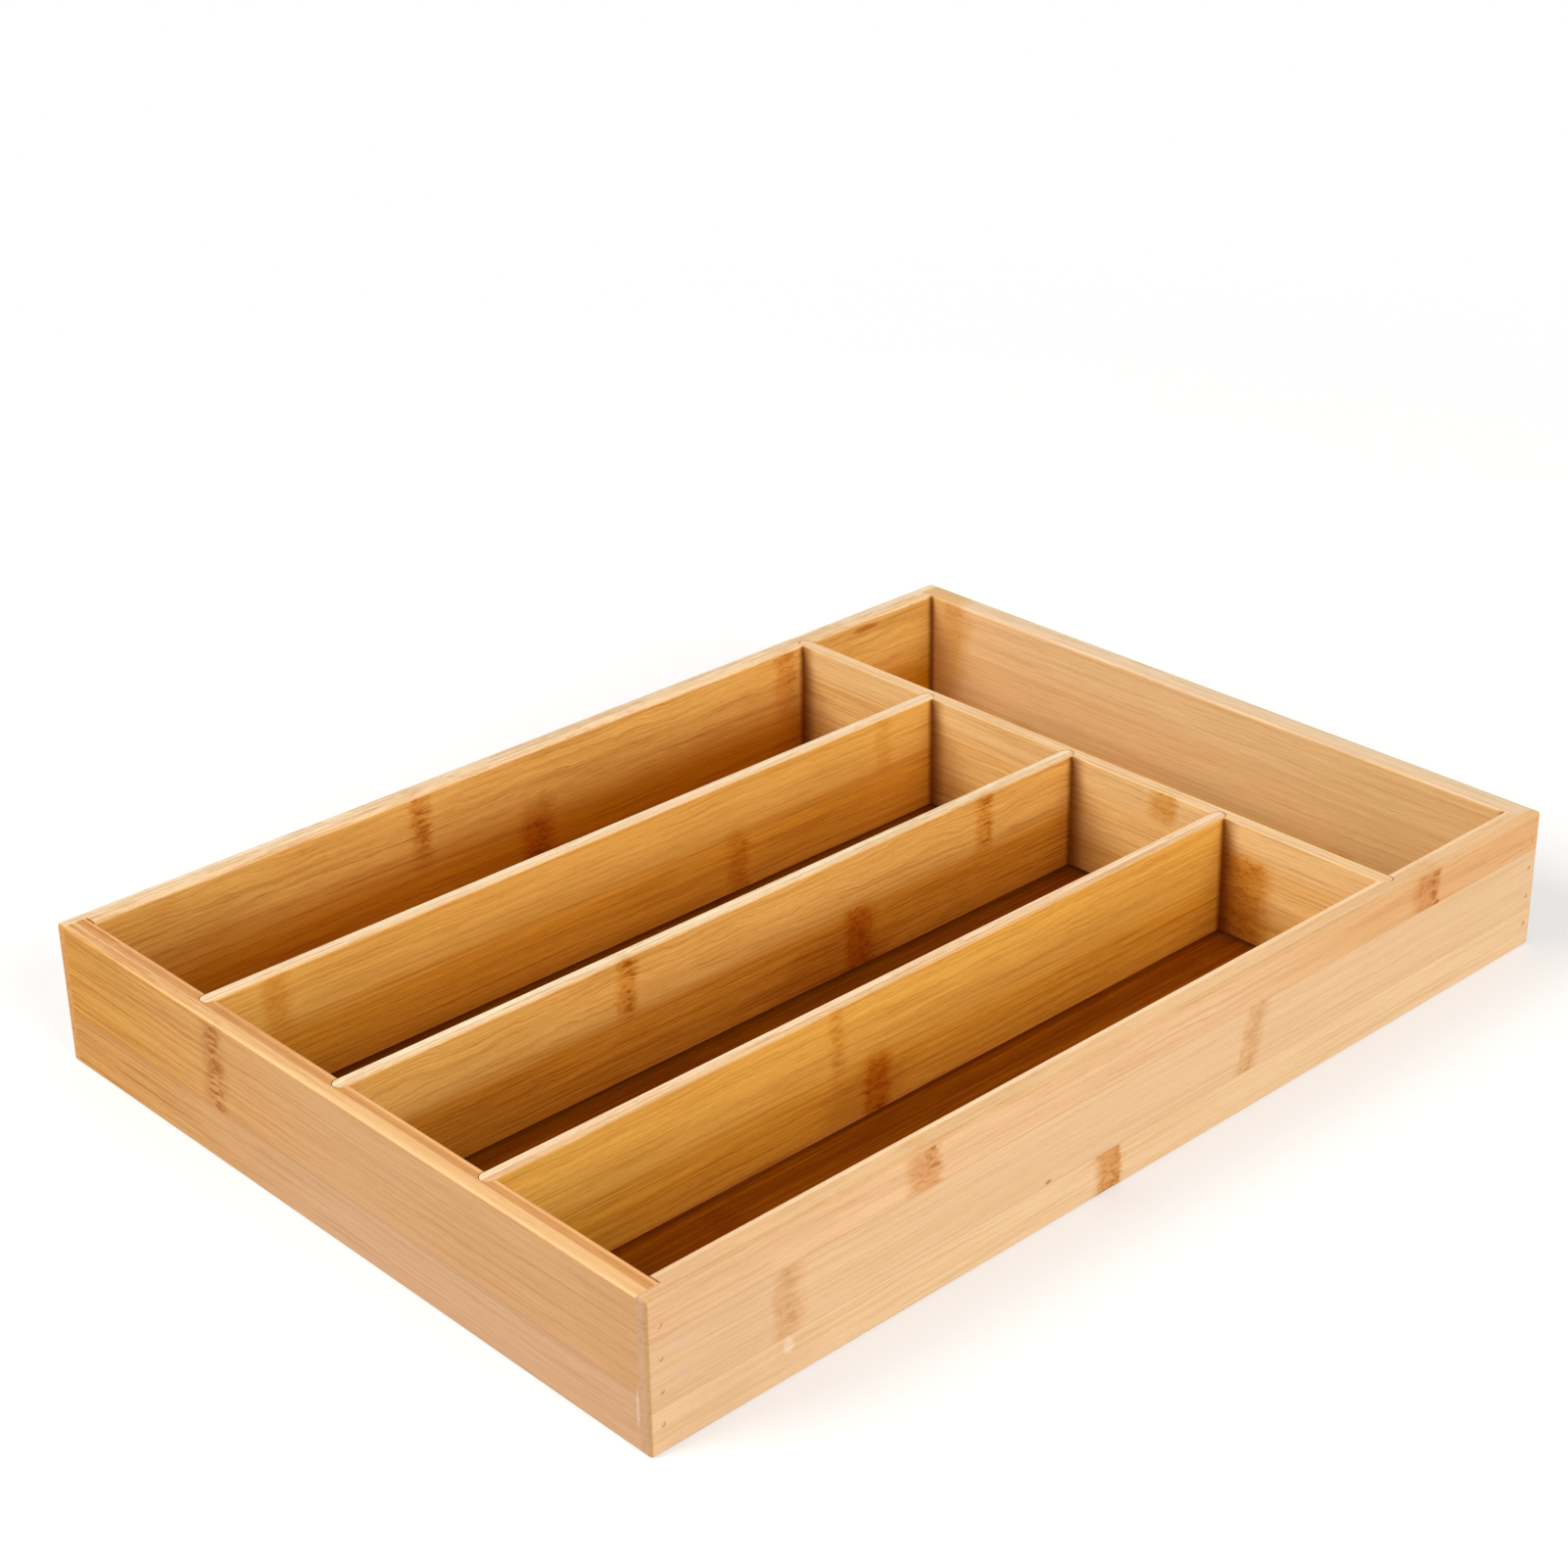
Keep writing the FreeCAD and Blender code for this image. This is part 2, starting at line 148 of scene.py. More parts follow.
class Graph:
    """A material's or world's node tree, and the one place where its nodes are made."""

    def __init__(self, owner: Union[bpy.types.Material, bpy.types.World]) -> None:
        """Empties the owner's node tree.

        Args:
            owner: the material or world whose nodes are made here.
        """
        owner.use_nodes = True
        self.tree = owner.node_tree
        self.tree.nodes.clear()

    def node(
        self,
        kind: str,
        settings: Optional[dict[str, Any]] = None,
        sockets: Optional[dict[Union[int, str], Link]] = None,
    ) -> bpy.types.Node:
        """Adds one node.

        Args:
            kind: Blender's name of the node's type.
            settings: the node's own settings, which are set first.
            sockets: values or links of its input sockets, by name or number.

        Returns:
            The new node.
        """
        made = self.tree.nodes.new(kind)
        for name, setting in (settings or {}).items():
            setattr(made, name, setting)
        for key, link in (sockets or {}).items():
            target = made.inputs[key]
            if isinstance(link, Value):
                self.tree.links.new(link.socket, target)
            elif isinstance(link, bpy.types.NodeSocket):
                self.tree.links.new(link, target)
            else:
                target.default_value = link
        return made

    def maths(self, operation: str, *terms: Operand) -> Value:
        """Adds a Math node.

        Args:
            operation: Blender's name of the operation.
            terms: its inputs in order.

        Returns:
            The result.
        """
        made = self.node("ShaderNodeMath", {"operation": operation}, dict(enumerate(terms)))
        return Value(self, made.outputs[0])

    def mix(self, share: Operand, base: Link, over: Link, blend: str = "MIX") -> bpy.types.NodeSocket:
        """Mixes two colours.

        Args:
            share: how much of the second colour, 0 to 1.
            base: the first colour.
            over: the second colour.
            blend: how the second goes over the first.

        Returns:
            The mixed colour's socket.
        """
        settings = {"data_type": "RGBA", "blend_type": blend}
        sockets = {MIX_FACTOR: share, MIX_BASE: base, MIX_OVER: over}
        return self.node("ShaderNodeMix", settings, sockets).outputs[MIX_RESULT]

    def tint(self, share: Operand, base: Link, filter_colour: Colour) -> Link:
        """Multiplies a colour by a filter's.

        Args:
            share: how much the filter counts, 0 to 1.
            base: the colour.
            filter_colour: the filter.

        Returns:
            The filtered colour's socket, or the colour itself where the share is nothing.
        """
        if not isinstance(share, Value) and share == 0.0:
            return base
        return self.mix(share, base, filter_colour, "MULTIPLY")

    def noise(self, place: Place, cell: Point, detail: float = 2.0) -> Value:
        """A smooth random number from 0 to 1.

        Args:
            place: three coordinates of the point.
            cell: the size of a cell along each of them.
            detail: how many finer layers are added.

        Returns:
            The number at that point.
        """
        scaled = {axis: part / size for axis, (part, size) in enumerate(zip(place, cell))}
        point = self.node("ShaderNodeCombineXYZ", sockets=scaled).outputs[0]
        made = self.node("ShaderNodeTexNoise", sockets={"Vector": point, "Scale": 1.0, "Detail": detail})
        return Value(self, made.outputs[0])

    def sway(self, place: Place, cell: Point, detail: float = 2.0) -> Value:
        """A smooth random number about zero, half below it and half above.

        Args:
            place: three coordinates of the point.
            cell: the size of a cell along each of them.
            detail: how many finer layers are added.

        Returns:
            The number at that point, from -0.5 to 0.5.
        """
        return self.noise(place, cell, detail) - HALF

    def chance(self, key: Value) -> Value:
        """A random number from 0 to 1 that stays the same for the same key."""
        made = self.node("ShaderNodeTexWhiteNoise", {"noise_dimensions": "1D"}, {"W": key})
        return Value(self, made.outputs[0])

    def split(self, vector: bpy.types.NodeSocket) -> tuple[Value, Value, Value]:
        """The three parts of a vector."""
        made = self.node("ShaderNodeSeparateXYZ", sockets={0: vector})
        return tuple(Value(self, part) for part in made.outputs)

    def place(self) -> tuple[Value, Value, Value]:
        """Where the surface point is in the tray's frame, in millimetres."""
        coordinates = self.node("ShaderNodeTexCoord").outputs["Object"]
        return tuple(part * MM_PER_M for part in self.split(coordinates))

    def normal(self) -> tuple[Value, Value, Value]:
        """The way that the surface faces, in the tray's frame."""
        return self.split(self.node("ShaderNodeTexCoord").outputs["Normal"])

    def surface(self, shader: bpy.types.NodeSocket, kind: str = "ShaderNodeOutputMaterial") -> None:
        """Makes a shader the tree's surface."""
        self.node(kind, sockets={"Surface": shader})


class Grain(Enum):
    """The tray's axes along a board's fibres, across its strips, and through its thickness."""

    LENGTHWISE = (1, 2, 0)
    CROSSWISE = (0, 2, 1)
    PANEL = (1, 0, 2)

    def sort(self, parts: tuple[Value, Value, Value]) -> tuple[Value, Value, Value]:
        """Puts a vector's parts in the order along, across, through."""
        return tuple(parts[axis] for axis in self.value)


@dataclass(frozen=True)
class Mark:
    """A bamboo node: where its ridge lies, how far its stain spreads and how strong they are.

    Lengths are millimetres. The ridge leans by a share of the height below the strip's upper edge.
    """

    along: float
    before: float = 9.0
    after: float = 3.0
    lean: float = 0.0
    depth: float = 1.0
    ridge: float = 0.5
    ridge_width: float = 4.0
    core_share: float = 0.45

    def offset(self, along: Value, across: Value, top: float) -> Value:
        """How far a point lies past the ridge.

        Args:
            along: place along the board.
            across: place across the strips.
            top: the strip's upper edge.

        Returns:
            The distance along the board.
        """
        past = along - self.along
        return past - (across - top) * self.lean if self.lean else past

    def stain(self, past: Value) -> Value:
        """The soft brown stain, from 0 outside it to the node's depth."""
        start = past.rise(-self.before, -self.before * self.core_share)
        return start * (1.0 - past.rise(0.0, self.after)) * self.depth

    def line(self, past: Value) -> Value:
        """The ridge's dark line, from 0 beside it to its strength."""
        return (1.0 - abs(past).rise(0.0, self.ridge_width)) * self.ridge


@dataclass(frozen=True)
class NodeFigure:
    """How fibres run in a bamboo node: a wavering edge, curled dark threads and a broken ridge."""

    sway_cell: Point = (30.0, 5.0, 12.0)
    sway: float = 5.0
    fray_cell: Point = (2.5, 1.2, 2.5)
    fray: float = 4.0
    thread_cell: Point = (3.4, 2.1, 3.4)
    thread_width: float = 0.09
    thread_share: float = 0.6
    patch_cell: Point = (5.0, 4.0, 5.0)
    patch: tuple[float, float] = (0.32, 0.62)
    tick_cell: Point = (4.5, 1.3, 4.5)
    tick: tuple[float, float] = (0.44, 0.62)

    def edge(self, graph: Graph, place: Place) -> Value:
        """How far a node's edge strays along the board, in millimetres.

        Args:
            graph: the material's graph.
            place: along, across, through.

        Returns:
            The offset.
        """
        sway = graph.sway(place, self.sway_cell) * self.sway
        return graph.sway(place, self.fray_cell) * self.fray + sway

    def scar(self, graph: Graph, place: Place, halo: Operand, ridge: Operand) -> Value:
        """The dark marks: curled threads in the stain, and the ridge broken into ticks.

        Args:
            graph: the material's graph.
            place: along, across, through.
            halo: the stain's strength.
            ridge: the ridge's strength.

        Returns:
            From 0 beside the marks to 1 on them.
        """
        threads = 1.0 - abs(graph.sway(place, self.thread_cell)).rise(0.0, self.thread_width)
        threads = threads * graph.noise(place, self.patch_cell).rise(*self.patch)
        ticks = graph.noise(place, self.tick_cell).rise(*self.tick)
        return (ticks * ridge + threads * halo * self.thread_share).clamp()


NODE_FIGURE = NodeFigure()


@dataclass(frozen=True)
class Strip:
    """One strip of a board: its upper edge in millimetres, its colour, its nodes and its grain."""

    top: float
    colour: Colour
    marks: tuple[Mark, ...] = ()
    far: Optional[Colour] = None
    figure: float = 0.5
    contrast: float = 0.6


@dataclass(frozen=True)
class Ply:
    """One band through a board's thickness: where it ends, and its colour."""

    end: float
    colour: Colour


@dataclass(frozen=True)
class Spot:
    """A scuff, fleck or patch of colour on a face, some of them painted shade or a painted highlight: its
    middle, its half length and height, its colour and its share.

    The edge says where it fades out, in shares of the half length and height.
    """

    along: float
    across: float
    length: float
    height: float
    colour: Colour
    share: float = 0.7
    edge: tuple[float, float] = (0.5, 1.1)


@dataclass
class Pattern:
    """What a layout of strips gives at a point of the surface."""

    along: Value
    across: Value
    through: Value
    strip: Operand
    colour: Link
    contrast: Operand
    figure: Operand
    joint: Operand
    halo: Operand
    scar: Operand
    seam: Operand = 0.0
    end_grain: Operand = 0.0


def layered(graph: Graph, steps: list[Value], colours: list[Link]) -> Link:
    """Lays colours over each other from the first to the last.

    Args:
        graph: the material's graph.
        steps: where each next colour takes over, 0 to 1.
        colours: one more colour than there are steps.

    Returns:
        The colour at the surface point.
    """
    colour = colours[0]
    for step, following in zip(steps, colours[1:]):
        colour = graph.mix(step, colour, following)
    return colour


def banded(graph: Graph, plies: tuple[Ply, ...], through: Value, blur: float) -> Link:
    """Lays bands of colour through a board's thickness.

    Args:
        graph: the material's graph.
        plies: the bands in order.
        through: place through the thickness.
        blur: half the width over which one band gives way to the next.

    Returns:
        The colour at the surface point.
    """
    steps = [through.rise(ply.end - blur, ply.end + blur) for ply in plies[:-1]]
    return layered(graph, steps, [ply.colour for ply in plies])


def blended(steps: list[Value], amounts: list[float]) -> Operand:
    """Goes from the first amount to the last, step by step.

    Args:
        steps: where each next amount takes over, 0 to 1.
        amounts: one more amount than there are steps.

    Returns:
        The amount at the surface point.
    """
    amount: Operand = amounts[0]
    for step, lower, upper in zip(steps, amounts, amounts[1:]):
        if upper != lower:
            amount = step * (upper - lower) + amount
    return amount


@dataclass(frozen=True)
class Board:
    """A board laid up from strips that are listed from the bottom to the top.

    Lengths are millimetres. Inward is the sign of the way that the face with the dark joint lines and
    painted corner shade looks, or 0 where both faces have them, and outer colours the other face.
    """

    strips: tuple[Strip, ...]
    edge: tuple[Ply, ...]
    ends: tuple[Ply, ...] = ()
    grain: Grain = Grain.LENGTHWISE
    seed: float = 0.0
    far_contrast: float = 1.0
    fade: tuple[float, float] = (-60.0, 60.0)
    seams_and_shade: tuple[float, ...] = ()
    inward: float = 0.0
    outer: Optional[Colour] = None
    spots: tuple[Spot, ...] = ()
    blur: float = 0.15
    ply_blur: float = 0.3
    joint_width: float = 0.35
    seam_and_shade_width: float = 2.4
    wander_cell: Point = (120.0, 1.0, 1.0)
    wander: float = 1.2
    wander_detail: float = 0.0
    top_share: float = 0.15
    upward_range: tuple[float, float] = (0.15, 0.65)
    endward_range: tuple[float, float] = (0.2, 0.7)
    sideward_range: tuple[float, float] = (0.5, 0.9)

    def pattern(self, graph: Graph) -> Pattern:
        """Lays out the strips, their nodes and the marks of the joints.

        Args:
            graph: the material's graph.

        Returns:
            The layout at the surface point.
        """
        along, across, through = self.grain.sort(graph.place())
        facing_along, facing_up, facing_through = self.grain.sort(graph.normal())
        drift = graph.sway((along, self.seed, 0.0), self.wander_cell, self.wander_detail)
        level = across + drift * self.wander
        cuts = [strip.top for strip in self.strips[:-1]]
        steps = [level.rise(cut - self.blur, cut + self.blur) for cut in cuts]
        upward = facing_up.rise(*self.upward_range)
        endward = abs(facing_along).rise(*self.endward_range)
        colour = layered(graph, steps, [self.strip_colour(graph, strip, along) for strip in self.strips])
        if self.outer:
            outward = (facing_through * -self.inward).rise(*self.sideward_range)
            colour = graph.mix(outward, colour, self.outer)
        colour = graph.mix(upward, colour, banded(graph, self.edge, through, self.ply_blur))
        for spot in self.spots:
            colour = self.spotted(graph, spot, colour, along, across)
        if self.ends:
            colour = graph.mix(endward, colour, banded(graph, self.ends, through, self.ply_blur))
        halo, ridge = self.nodes(steps, along + NODE_FIGURE.edge(graph, (along, across, through)), across)
        shown = upward * (self.top_share - 1.0) + 1.0
        halo = halo * shown
        contrast = blended(steps, [strip.contrast for strip in self.strips])
        if self.far_contrast != 1.0:
            contrast = (along.rise(*self.fade) * (self.far_contrast - 1.0) + 1.0) * contrast
        # Dark joint lines where the boards meet: partly dark glue joints, partly painted shade in the
        # corners.
        seam: Operand = sum(1.0 - abs(along - place).rise(0.0, self.seam_and_shade_width) for place in self.seams_and_shade)
        if self.seams_and_shade:
            facing_in = facing_through * self.inward
            seam = seam * (facing_in.rise(*self.sideward_range) if self.inward else 1.0 - upward)
        return Pattern(
            along,
            across,
            through,
            strip=sum(steps),
            colour=colour,
            contrast=contrast,
            figure=blended(steps, [strip.figure for strip in self.strips]),
            joint=sum(1.0 - abs(level - cut).rise(0.0, self.joint_width) for cut in cuts),
            halo=halo,
            scar=NODE_FIGURE.scar(graph, (along, across, through), halo, ridge * shown),
            seam=seam,
            end_grain=0.0 if self.ends else endward,
        )

    def strip_colour(self, graph: Graph, strip: Strip, along: Value) -> Link:
        """A strip's colour, which may change along the board.

        Args:
            graph: the material's graph.
            strip: the strip.
            along: place along the board.

        Returns:
            The colour, or a socket that gives it.
        """
        if strip.far is None:
            return strip.colour
        return graph.mix(along.rise(*self.fade), strip.colour, strip.far)

    @staticmethod
    def spotted(graph: Graph, spot: Spot, colour: Link, along: Value, across: Value) -> Link:
        """Lays one spot over a colour: a scuff, a fleck, a patch of tone, painted shade or a painted
        highlight.

        Args:
            graph: the material's graph.
            spot: the spot.
            colour: the colour under it.
            along: place along the board.
            across: place across the strips.

        Returns:
            The colour's socket.
        """
        ragged = graph.sway((along, across, 0.0), (spot.length * HALF, spot.height * HALF, 1.0))
        reach = abs((along - spot.along) / spot.length).hypot((across - spot.across) / spot.height)
        return graph.mix((1.0 - (reach + ragged).rise(*spot.edge)) * spot.share, colour, spot.colour)

    def nodes(self, steps: list[Value], along: Value, across: Value) -> tuple[Operand, Operand]:
        """Lays out the nodes of all strips.

        Args:
            steps: where each strip gives way to the next.
            along: place along the board, frayed.
            across: place across the strips.

        Returns:
            The strength of the stains, and that of the ridges.
        """
        halo: Operand = 0.0
        ridge: Operand = 0.0
        for number, strip in enumerate(self.strips):
            inside: Operand = steps[number - 1] if number else 1.0
            if number < len(steps):
                inside = (1.0 - steps[number]) * inside
            for mark in strip.marks:
                past = mark.offset(along, across, strip.top)
                halo = mark.stain(past) * inside + halo
                ridge = mark.line(past) * inside + ridge
        return halo, ridge


@dataclass(frozen=True)
class PanelLay:
    """A wide panel of equal strips, with tones and nodes set by each strip's own number."""

    dark: Colour
    light: Colour
    strip_width: float = 19.0
    node_pitch: float = 190.0
    node_spread: float = 7.0
    joint_share: float = 0.02
    node: Mark = Mark(0.0)
    grain: Grain = Grain.PANEL
    seed: float = 0.0
    contrast: float = 1.0
    figure: float = 0.4

    def pattern(self, graph: Graph) -> Pattern:
        """Lays out the strips and their nodes.

        Args:
            graph: the material's graph.

        Returns:
            The layout at the surface point.
        """
        place = self.grain.sort(graph.place())
        along, across, through = place
        level = across / self.strip_width + HALF
        strip = level.floor()
        chance = graph.chance(strip + self.seed)
        offset = ((along / self.node_pitch + chance * self.node_spread).fract() - HALF) * self.node_pitch
        halo = self.node.stain(offset + NODE_FIGURE.edge(graph, place))
        return Pattern(
            along,
            across,
            through,
            strip=strip,
            colour=graph.mix(chance, self.dark, self.light),
            contrast=self.contrast,
            figure=self.figure,
            joint=1.0 - abs((level + HALF).fract() - HALF).rise(0.0, self.joint_share),
            halo=halo,
            scar=NODE_FIGURE.scar(graph, place, halo, 0.0),
        )


@dataclass(frozen=True)
class Streak:
    """One scale of the grain: its cells along, across and through, and how it darkens and dents."""

    cell: Point
    start: float
    full: float
    shade: float
    dent: float

    def at(self, graph: Graph, place: Place) -> Value:
        """How far a point lies in a dark line, 0 to 1."""
        return graph.noise(place, self.cell).rise(self.start, self.full)


@dataclass(frozen=True)
class Bamboo:
    """Laminated bamboo under satin varnish."""

    streaks: tuple[Streak, ...] = (
        Streak((120.0, 4.0, 4.0), 0.32, 0.68, 0.25, 0.0),
        Streak((55.0, 1.2, 1.2), 0.44, 0.68, 0.5, 0.4),
        Streak((30.0, 0.6, 0.6), 0.4, 0.64, 0.35, 0.4),
        Streak((12.0, 0.38, 0.38), 0.4, 0.62, 0.25, 0.3),
        Streak((3.5, 0.5, 0.5), 0.52, 0.66, 0.22, 0.3),
    )
    strip_shift: float = 173.0
    board_shift: float = 61.0
    wave_cell: Point = (30.0, 10.0, 10.0)
    wave: float = 3.0
    ripple_cell: Point = (8.0, 4.0, 8.0)
    ripple: float = 1.2
    swirl_cell: Point = (5.0, 3.0, 5.0)
    swirl: float = 4.0
    bend_detail: float = 1.0
    grain_tint: Colour = (0.64, 0.48, 0.28, 1.0)
    halo_tint: Colour = (0.83, 0.6, 0.34, 1.0)
    scar_tint: Colour = (0.63, 0.4, 0.05, 1.0)
    joint_tint: Colour = (0.93, 0.88, 0.84, 1.0)
    seam_and_shade_tint: Colour = (0.45, 0.3, 0.14, 1.0)
    end_tint: Colour = (0.76, 0.66, 0.52, 1.0)
    roughness: float = 0.42
    rough_streak: int = 1
    line_roughness: float = 0.1
    scar_roughness: float = 0.12
    specular: float = 0.2
    coat: float = 0.05
    coat_roughness: float = 0.3
    relief: float = 0.00012
    relief_strength: float = 0.35
    scar_dent: float = 0.5
    joint_dent: float = 0.6

    def material(self, name: str, lay: Union[Board, PanelLay]) -> bpy.types.Material:
        """Makes the material of one board.

        Args:
            name: the material's name.
            lay: the board's strips.

        Returns:
            The material.
        """
        made = bpy.data.materials.new(name)
        graph = Graph(made)
        lie = lay.pattern(graph)
        run = lie.along + lie.strip * self.strip_shift + lay.seed * self.board_shift
        wave = graph.sway((run, lie.across, lie.through), self.wave_cell, self.bend_detail)
        ripple = graph.sway((run, lie.across, lie.through), self.ripple_cell, self.bend_detail)
        swirl = graph.sway((lie.along, lie.across, lie.through), self.swirl_cell, self.bend_detail)
        bend = (wave * self.wave + ripple * self.ripple) * lie.figure
        fibre = lie.across + bend + swirl * lie.halo * self.swirl
        lines = [streak.at(graph, (run, fibre, lie.through)) for streak in self.streaks]
        shade = sum(line * streak.shade for line, streak in zip(lines, self.streaks)) * lie.contrast
        colour = graph.tint(shade.clamp(), lie.colour, self.grain_tint)
        colour = graph.tint(lie.halo, colour, self.halo_tint)
        colour = graph.tint(lie.scar, colour, self.scar_tint)
        colour = graph.tint(lie.joint, colour, self.joint_tint)
        colour = graph.tint(lie.end_grain, colour, self.end_tint)
        # Darkens the joint lines, which are partly dark joints and partly painted corner shade.
        colour = graph.tint(lie.seam, colour, self.seam_and_shade_tint)
        rough = lines[self.rough_streak] * self.line_roughness
        rough = rough + lie.scar * self.scar_roughness + self.roughness
        dent = sum(line * streak.dent for line, streak in zip(lines, self.streaks))
        dent = dent + lie.scar * self.scar_dent + lie.joint * self.joint_dent
        bump = graph.node(
            "ShaderNodeBump",
            sockets={"Strength": self.relief_strength, "Distance": self.relief, "Height": 0.0 - dent},
        )
        shader = graph.node(
            "ShaderNodeBsdfPrincipled",
            sockets={
                "Base Color": colour,
                "Roughness": rough,
                "Specular IOR Level": self.specular,
                "Coat Weight": self.coat,
                "Coat Roughness": self.coat_roughness,
                "Normal": bump.outputs[0],
            },
        )
        graph.surface(shader.outputs[0])
        return made


@dataclass(frozen=True)
class BronzedWire:
    """Dull wire of the brads."""

    colour: Colour = srgb(236, 190, 144)
    tarnish: Colour = srgb(206, 158, 112)
    tarnish_cell: Point = (0.5, 0.5, 0.5)
    tarnish_range: tuple[float, float] = (0.35, 0.7)
    tarnish_roughness: float = 0.2
    metallic: float = 0.2
    roughness: float = 0.5

    def material(self, name: str) -> bpy.types.Material:
        """Makes the material.

        Args:
            name: the material's name.

        Returns:
            The material.
        """
        made = bpy.data.materials.new(name)
        graph = Graph(made)
        spot = graph.noise(graph.place(), self.tarnish_cell)
        shader = graph.node(
            "ShaderNodeBsdfPrincipled",
            sockets={
                "Base Color": graph.mix(spot.rise(*self.tarnish_range), self.colour, self.tarnish),
                "Metallic": self.metallic,
                "Roughness": spot * self.tarnish_roughness + self.roughness,
            },
        )
        graph.surface(shader.outputs[0])
        return made


def dress(node: str, material: bpy.types.Material) -> None:
    """Puts a material on a CAD node and reports it.

    Args:
        node: the node's name.
        material: the material for all its faces.
    """
    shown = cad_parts[node]
    shown.data.materials.clear()
    shown.data.materials.append(material)
    LOG.info("%s: %s", node, material.name)


@dataclass
class Walls:
    """The four outer walls."""

    finish: Bamboo = Bamboo()
    right: Board = Board(
        strips=(
            Strip(
                13.0,
                srgb(241, 202, 155),
                (Mark(-12.5, 11.0, 2.0, depth=1.1, ridge=0.35),),
                contrast=0.33,
            ),
            Strip(
                33.0,
                srgb(233, 192, 145),
                (
                    Mark(-132.0, 7.0, 6.5, depth=0.38, ridge=0.3),
                    Mark(46.5, 7.0, 6.0, lean=0.24, depth=0.42, ridge=0.3),
                ),
                contrast=0.28,
            ),
            Strip(
                45.0,
                srgb(237, 192, 144),
                (
                    Mark(-82.5, 12.0, 2.5, depth=0.72, ridge=0.8),
                    Mark(125.5, 13.0, 2.5, depth=0.75, ridge=0.7),
                ),
                far=srgb(228, 174, 115),
                figure=0.8,
                contrast=0.42,
            ),
        ),
        edge=(
            Ply(121.7, srgb(251, 213, 168)),
            Ply(126.0, srgb(234, 191, 139)),
            Ply(127.5, srgb(227, 181, 127)),
        ),
        ends=(Ply(126.5, srgb(197, 156, 117)), Ply(127.5, srgb(196, 153, 102))),
        seed=1.0,
        fade=(20.0, 100.0),
        spots=(
            # Painted shade: the wall darker towards its front end.
            Spot(-178.0, 22.0, 60.0, 60.0, srgb(205, 160, 122), 0.26),
            Spot(-133.0, 10.0, 2.2, 2.6, srgb(250, 228, 204), 0.6),
            Spot(-40.0, 14.0, 1.4, 0.7, srgb(160, 106, 58), 0.7),
            Spot(-167.3, 28.6, 2.2, 1.6, srgb(222, 180, 155), 0.5),
            Spot(-167.0, 20.5, 2.0, 1.5, srgb(222, 180, 155), 0.5),
        ),
    )
    front: Board = Board(
        strips=(
            Strip(17.0, srgb(207, 149, 62), far=srgb(205, 160, 118), contrast=0.8),
            Strip(
                45.0,
                srgb(211, 150, 32),
                (Mark(-50.0, 8.0, 8.0, depth=0.25, ridge=1.0, ridge_width=7.0),),
                far=srgb(205, 156, 104),
                contrast=0.95,
            ),
        ),
        edge=(
            Ply(-175.9, srgb(241, 192, 133)),
            Ply(-173.6, srgb(239, 189, 128)),
            Ply(-171.2, srgb(215, 153, 87)),
            Ply(-169.6, srgb(242, 184, 118)),
        ),
        grain=Grain.CROSSWISE,
        seed=2.0,
        far_contrast=0.45,
        fade=(-130.0, 20.0),
        seams_and_shade=(-63.4, -58.6, -2.4, 2.4, 58.6, 63.4),
        inward=1.0,
        spots=(Spot(123.2, 13.0, 0.6, 7.0, srgb(226, 204, 186), 0.5),),
        blur=1.0,
    )
    # The left wall's strip colours are partly the strips' tone and partly painted shade from inside the
    # tray, which makes the lower strip dark orange; outer colours the outside face without that shade.
    left: Board = Board(
        strips=(
            Strip(
                24.5,
                srgb(216, 142, 29),
                (Mark(-8.0, 11.0, 8.0, depth=1.1, ridge=0.6),),
                far=srgb(200, 127, 12),
                contrast=0.7,
            ),
            Strip(
                45.0,
                srgb(240, 187, 99),
                (
                    Mark(-54.5, 6.0, 5.5, depth=0.65, ridge=1.0, ridge_width=5.0),
                    Mark(101.0, 9.0, 3.5, depth=0.7, ridge=0.4),
                ),
                figure=1.2,
                contrast=0.75,
            ),
        ),
        edge=(Ply(-122.0, srgb(245, 217, 178)), Ply(-119.6, srgb(254, 214, 164))),
        ends=(Ply(-119.6, srgb(212, 152, 74)),),
        seed=3.0,
        fade=(-70.0, 10.0),
        seams_and_shade=(107.2, 112.0, 169.6),
        inward=1.0,
        outer=srgb(234, 190, 138),
        spots=(
            Spot(137.0, 42.3, 7.0, 1.3, srgb(190, 100, 20), 0.7),
            # Painted shade: the wall darker towards its front end.
            Spot(-162.0, 29.0, 48.0, 15.0, srgb(212, 140, 48), 0.45),
        ),
        blur=10.0,
    )
    back: Board = Board(
        strips=(
            Strip(10.0, srgb(235, 195, 122), (Mark(64.0, depth=0.4), Mark(-72.0, depth=0.4)), contrast=0.3),
            Strip(28.0, srgb(234, 192, 133), far=srgb(233, 191, 126), contrast=0.4),
            Strip(
                45.0,
                srgb(239, 199, 144),
                (Mark(-108.0, 7.0, 6.0, depth=0.3, ridge=0.1),),
                far=srgb(235, 194, 133),
                contrast=0.42,
            ),
        ),
        edge=(Ply(173.5, srgb(235, 201, 162)), Ply(177.5, srgb(230, 202, 160))),
        grain=Grain.CROSSWISE,
        seed=4.0,
        fade=(-20.0, 115.0),
        seams_and_shade=(-119.6, 119.6),
        inward=-1.0,
        outer=srgb(236, 193, 140),
        # Darker and more golden towards the left-hand corner.
        spots=(Spot(-118.0, 30.0, 19.0, 30.0, srgb(216, 162, 70), 0.6),),
        blur=2.0,
    )

    def dress(self) -> None:
        """Gives each wall its bamboo."""
        boards = {
            "right_wall": self.right,
            "front_wall": self.front,
            "left_wall": self.left,
            "back_wall": self.back,
        }
        for node, board in boards.items():
            dress(node, self.finish.material(f"{node}_bamboo", board))


